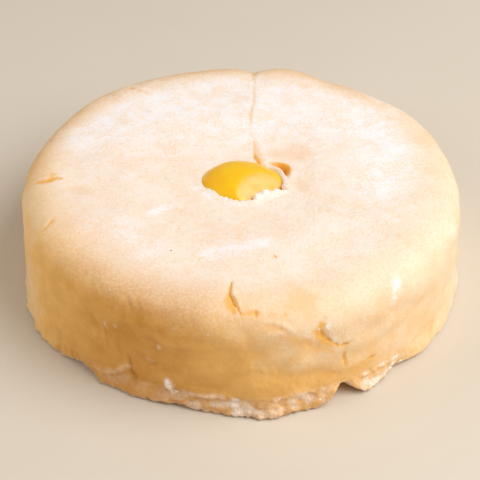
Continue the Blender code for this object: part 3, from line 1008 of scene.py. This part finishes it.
def paintSkin(vert, masks, station, azimuth, tone, white):
    place = vert.co
    beyond = max(place.to_2d().length - paint["creamRadius"], 0.0)
    if station >= 2.5:
        beyond += max(wrap["height"] - place.z, 0.0)
    fade = paint["fade"] + lobes(azimuth, paint["fadeMore"])
    vert[masks["crown"]] = 1 - smooth(beyond / fade)

    # The gold's paleness holds painted light and painted shade: the lit right side, the front and the left
    # edge are paled, and the front left and the foot darkened.
    paleAndLit = lobe(azimuth, *paint["paleAndLit"])
    pale = paint["plain"] + paint["litSidePale"] * paleAndLit + lobes(azimuth, paint["paler"])
    pale += lobes(azimuth, [paint["frontPale"]]) * (1 - smooth((12 * mm - place.z) / (6 * mm)))
    pale -= lobes(azimuth, [paint["footDark"]]) * smooth((6 * mm - place.z) / (3 * mm))
    vert[masks["paleAndLit"]] = pale

    behind = smooth((place.y + 5 * mm) / (30 * mm))
    dust = (1 - smooth(beyond / paint["dustFade"])) * (paint["dust"] + paint["dustBehind"] * behind)
    vert[masks["dust"]] = min(1.0, dust + paint["litSideDust"] * paleAndLit + flourAt(place))

    gap = 1.1 * flapShare(azimuth) * smooth((station - 1.42) / 0.12) * (1 - smooth((station - 1.8) / 0.12))
    warmRim = paint["flapRim"] * flapShare(azimuth) * (1 - smooth((station - 1.2) / 0.2))
    vert[masks["tear"]] = min(1.0, max(tone, gap, warmRim))

    inner = (1 - smooth(abs(station - 1.15) / 0.4)) * lobe(azimuth, *paint["innerLip"])
    inner *= 1 - flapShare(azimuth)
    hole, foot = crumbleAt(station, azimuth)
    fleck = smooth((noise.noise(place / paint["fleckSize"] + noiseSeat) + 0.16) / 0.55)
    foot *= paint["footCrumb"] + fleck * (paint["footPlain"] + lobes(azimuth, paint["footWhite"]))
    cut = paint["cutEdge"] + lobes(azimuth, [paint["cutEdgeMore"]])
    cut *= 1 - smooth(abs(station - 5.5) / 0.1)
    # torn also carries the painted highlights whitened onto ridges and pimples
    vert[masks["torn"]] = min(1.0, max(white, inner, hole, foot, cut))


bm = makeWrap()
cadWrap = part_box("pastry_wrap")
low = [min(vert.co[axis] for vert in bm.verts) for axis in (0, 1)]
high = [max(vert.co[axis] for vert in bm.verts) for axis in (0, 1)]
offset = [(cadWrap[0][axis] + cadWrap[1][axis] - low[axis] - high[axis]) / 2 for axis in (0, 1)]
toFrame = Vector((*offset, 0))
bmesh.ops.translate(bm, verts=bm.verts, vec=toFrame)
skinTree = BVHTree.FromBMesh(bm)
pastrySkin = newObject("pastrySkin", bm, pastryMaterial)
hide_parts("pastry_wrap")
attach(pastrySkin, "root")
print("wrap made, moved by", [round(v / mm, 3) for v in toFrame], "mm")


def makeNut():
    bm = bmesh.new()
    bmesh.ops.create_icosphere(bm, subdivisions=6, radius=1)
    flat = bm.verts.layers.float.new("flat")
    crestAzimuth, crestHalfWidth, crest = nut["crest"]
    for vert in bm.verts:
        way = vert.co.normalized()
        azimuth, latitude = math.atan2(way.y, way.x), math.asin(max(-1.0, min(1.0, way.z)))
        place = nutPoint(azimuth, latitude)
        swell = crest * lobe(azimuth, crestAzimuth, crestHalfWidth) * smooth(math.degrees(latitude) / 25)
        place += (place - nut["centre"]).normalized() * swell * smooth((90 - math.degrees(latitude)) / 40)
        rounded = place.copy()
        place = flatten(place, nut["facetFace"], nut["facetCut"])
        # the mask of the painted highlight on the flat
        vert[flat] = smooth((rounded - place).length / nut["facetFade"])
        inward = (nut["centre"] - place).normalized()
        dent = nut["dentDepth"] * noise.noise(place / nut["dentSize"])
        place += inward * (nut["shrink"] + dent)
        vert.co = place + toFrame
    bmesh.ops.recalc_face_normals(bm, faces=bm.faces)
    return bm


candiedChestnut = newObject("candiedChestnut", makeNut(), nutMaterial)
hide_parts("chestnut")
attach(candiedChestnut, "root")
print("chestnut made")


# White crumbs that broke off at the hole and along the foot. Sizes are half widths in mm.
crumbs = {
    "seed": 7,
    "lip": (
        {"count": 24, "azimuth": (-82, -48), "away": (6.8, 9.4), "size": (0.15, 0.45)},
        {"count": 20, "azimuth": (-30, -2), "away": (9.6, 11.8), "size": (0.15, 0.4)},
        {"count": 30, "azimuth": (-165, -80), "away": (7.7, 9.2), "size": (0.12, 0.28)},
    ),
    "foot": (
        {"count": 12, "azimuth": (-60, -44), "height": (1.0, 3.2), "size": (0.2, 0.7)},
        {"count": 8, "azimuth": (-100, -70), "height": (0.8, 3.2), "size": (0.15, 0.4)},
        {"count": 2, "azimuth": (-108.5, -106), "height": (3.0, 5.4), "size": (0.2, 0.5)},
        {"count": 24, "azimuth": (-180, 180), "height": (0.5, 1.8), "size": (0.12, 0.3)},
    ),
    "flecks": ((15.0, -44.9, 20.1),),
    "fleckSize": (0.16, 0.32),
    "speck": (-13.9, -27.4, 25.5),  # the one dark speck of burnt flour on the top
    "speckSize": 0.28,
    "sunk": 0.45,  # share of its size that a crumb is pressed into the skin
    "squash": ((0.9, 1.35), (0.7, 1), (0.5, 0.75)),
    "lumpSize": 0.75,  # share of its size
    "lumpHeight": 0.55,
    "castHeight": 40,
    "castRadius": 60,
}


def drawnSize(span, dice):  # small crumbs come up more often than large ones
    return span[0] + (span[1] - span[0]) * dice.random() ** 2


def addCrumb(bm, place, normal, size, dice):
    new = bmesh.ops.create_icosphere(bm, subdivisions=2, radius=size * mm)["verts"]
    axis = Vector((dice.uniform(-1, 1), dice.uniform(-1, 1), 0.4))
    turn = normal.to_track_quat("Z", "Y").to_matrix().to_4x4()
    turn = turn @ Matrix.Rotation(dice.uniform(-0.5, 0.5), 4, axis)
    squash = Matrix.Diagonal((*[dice.uniform(*span) for span in crumbs["squash"]], 1))
    shift = Vector((dice.uniform(0, 90), 0, 0))
    for vert in new:
        lump = noise.noise(vert.co / (size * crumbs["lumpSize"] * mm) + shift)
        vert.co *= 1 + crumbs["lumpHeight"] * lump
    seat = Matrix.Translation(place - normal * size * crumbs["sunk"] * mm)
    bmesh.ops.transform(bm, matrix=seat @ turn @ squash, verts=new)


def makeCrumbs():
    dice = random.Random(crumbs["seed"])
    bm = bmesh.new()
    above = nut["centre"].to_2d().to_3d() + toFrame + Vector((0, 0, crumbs["castHeight"] * mm))
    for group in crumbs["lip"]:
        for _ in range(group["count"]):
            azimuth = math.radians(dice.uniform(*group["azimuth"]))
            start = above + outward(azimuth) * dice.uniform(*group["away"]) * mm
            size = drawnSize(group["size"], dice)
            place, normal = skinTree.ray_cast(start, Vector((0, 0, -1)))[:2]
            addCrumb(bm, place, normal, size, dice)
    for group in crumbs["foot"]:
        for _ in range(group["count"]):
            azimuth = math.radians(dice.uniform(*group["azimuth"]))
            height = dice.uniform(*group["height"])
            start = (outward(azimuth) * crumbs["castRadius"] + Vector((0, 0, height))) * mm
            size = drawnSize(group["size"], dice)
            place, normal = skinTree.ray_cast(start, -outward(azimuth))[:2]
            if place:
                addCrumb(bm, place, normal, size, dice)
    for point in crumbs["flecks"]:
        place, normal = skinTree.find_nearest(Vector(point) * mm + toFrame)[:2]
        addCrumb(bm, place, normal, dice.uniform(*crumbs["fleckSize"]), dice)
    bmesh.ops.recalc_face_normals(bm, faces=bm.faces)
    return bm


whiteCrumbs = newObject("whiteCrumbs", makeCrumbs(), flourMaterial)
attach(whiteCrumbs, "root")

bm = bmesh.new()
place, normal = skinTree.find_nearest(Vector(crumbs["speck"]) * mm + toFrame)[:2]
addCrumb(bm, place, normal, crumbs["speckSize"], random.Random(crumbs["seed"]))
burntSpeck = newObject("burntSpeck", bm, burntMaterial)
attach(burntSpeck, "root")
print("crumbs made")


# Floor, lights and camera

stage = {
    "floorHalf": 1.5,
    "floorColours": ("#d9cfc0", "#dcd3c5"),
    "floorFibre": 25 * mm,
    "worldColour": "#fff4e6",
    "worldStrength": 0.38,
    "keyAzimuth": -20,
    "keyElevation": 47,
    "keyDistance": 0.6,
    "keySize": 0.6,
    "keyPower": 3.6,
    "fillAzimuth": 190,
    "fillElevation": 24,
    "fillDistance": 0.7,
    "fillSize": 0.5,
    "fillPower": 1.3,
}


def mattPaper():
    # Plain pale paper: no shine, and faintly uneven.
    material, tree, shader = newMaterial("mattPaperFloor", Roughness=0.9, Specular_IOR_Level=0.2)
    fibre = cloud(tree, objectPlace(tree), stage["floorFibre"], 2)
    tone = mixColour(tree, fibre, *[linear(code) for code in stage["floorColours"]])
    tree.links.new(tone, shader.inputs["Base Color"])
    return material


bm = bmesh.new()
bmesh.ops.create_grid(bm, x_segments=1, y_segments=1, size=stage["floorHalf"])
newObject("floor", bm, mattPaper())


def placeFrom(azimuth, elevation, distance, target=Vector((0, 0, 12 * mm))):
    level = math.cos(math.radians(elevation)) * distance
    rise = Vector((0, 0, math.sin(math.radians(elevation)) * distance))
    return target + outward(math.radians(azimuth)) * level + rise


def addSoftLight(name):
    data = bpy.data.lights.new(name, "AREA")
    data.shape = "DISK"
    data.size = stage[name + "Size"]
    data.energy = stage[name + "Power"]
    light = bpy.data.objects.new(name + "Light", data)
    light.location = placeFrom(stage[name + "Azimuth"], stage[name + "Elevation"], stage[name + "Distance"])
    light.rotation_euler = (-light.location).to_track_quat("-Z", "Y").to_euler()
    bpy.context.scene.collection.objects.link(light)


addSoftLight("key")
addSoftLight("fill")
world = bpy.data.worlds.new("softRoom")
world.use_nodes = True
background = world.node_tree.nodes["Background"]
background.inputs["Color"].default_value = linear(stage["worldColour"])
background.inputs["Strength"].default_value = stage["worldStrength"]
bpy.context.scene.world = world

view = {
    "elevation": 37.82,
    "distance": 330 * mm,
    "target": Vector((-0.05, 0, 6.77)) * mm,
    "focalPixels": 1482,
    "pictureSide": 480,
}
cameraData = bpy.data.cameras.new("camera")
cameraData.sensor_width = 36
cameraData.lens = view["focalPixels"] * cameraData.sensor_width / view["pictureSide"]
cameraData.clip_start = 0.01
camera = bpy.data.objects.new("camera", cameraData)
camera.location = placeFrom(-90, view["elevation"], view["distance"], view["target"] + toFrame)
camera.rotation_euler = (math.radians(90 - view["elevation"]), 0, 0)
bpy.context.scene.collection.objects.link(camera)
bpy.context.scene.camera = camera
bpy.context.scene.view_settings.view_transform = "Standard"
print("stage set")
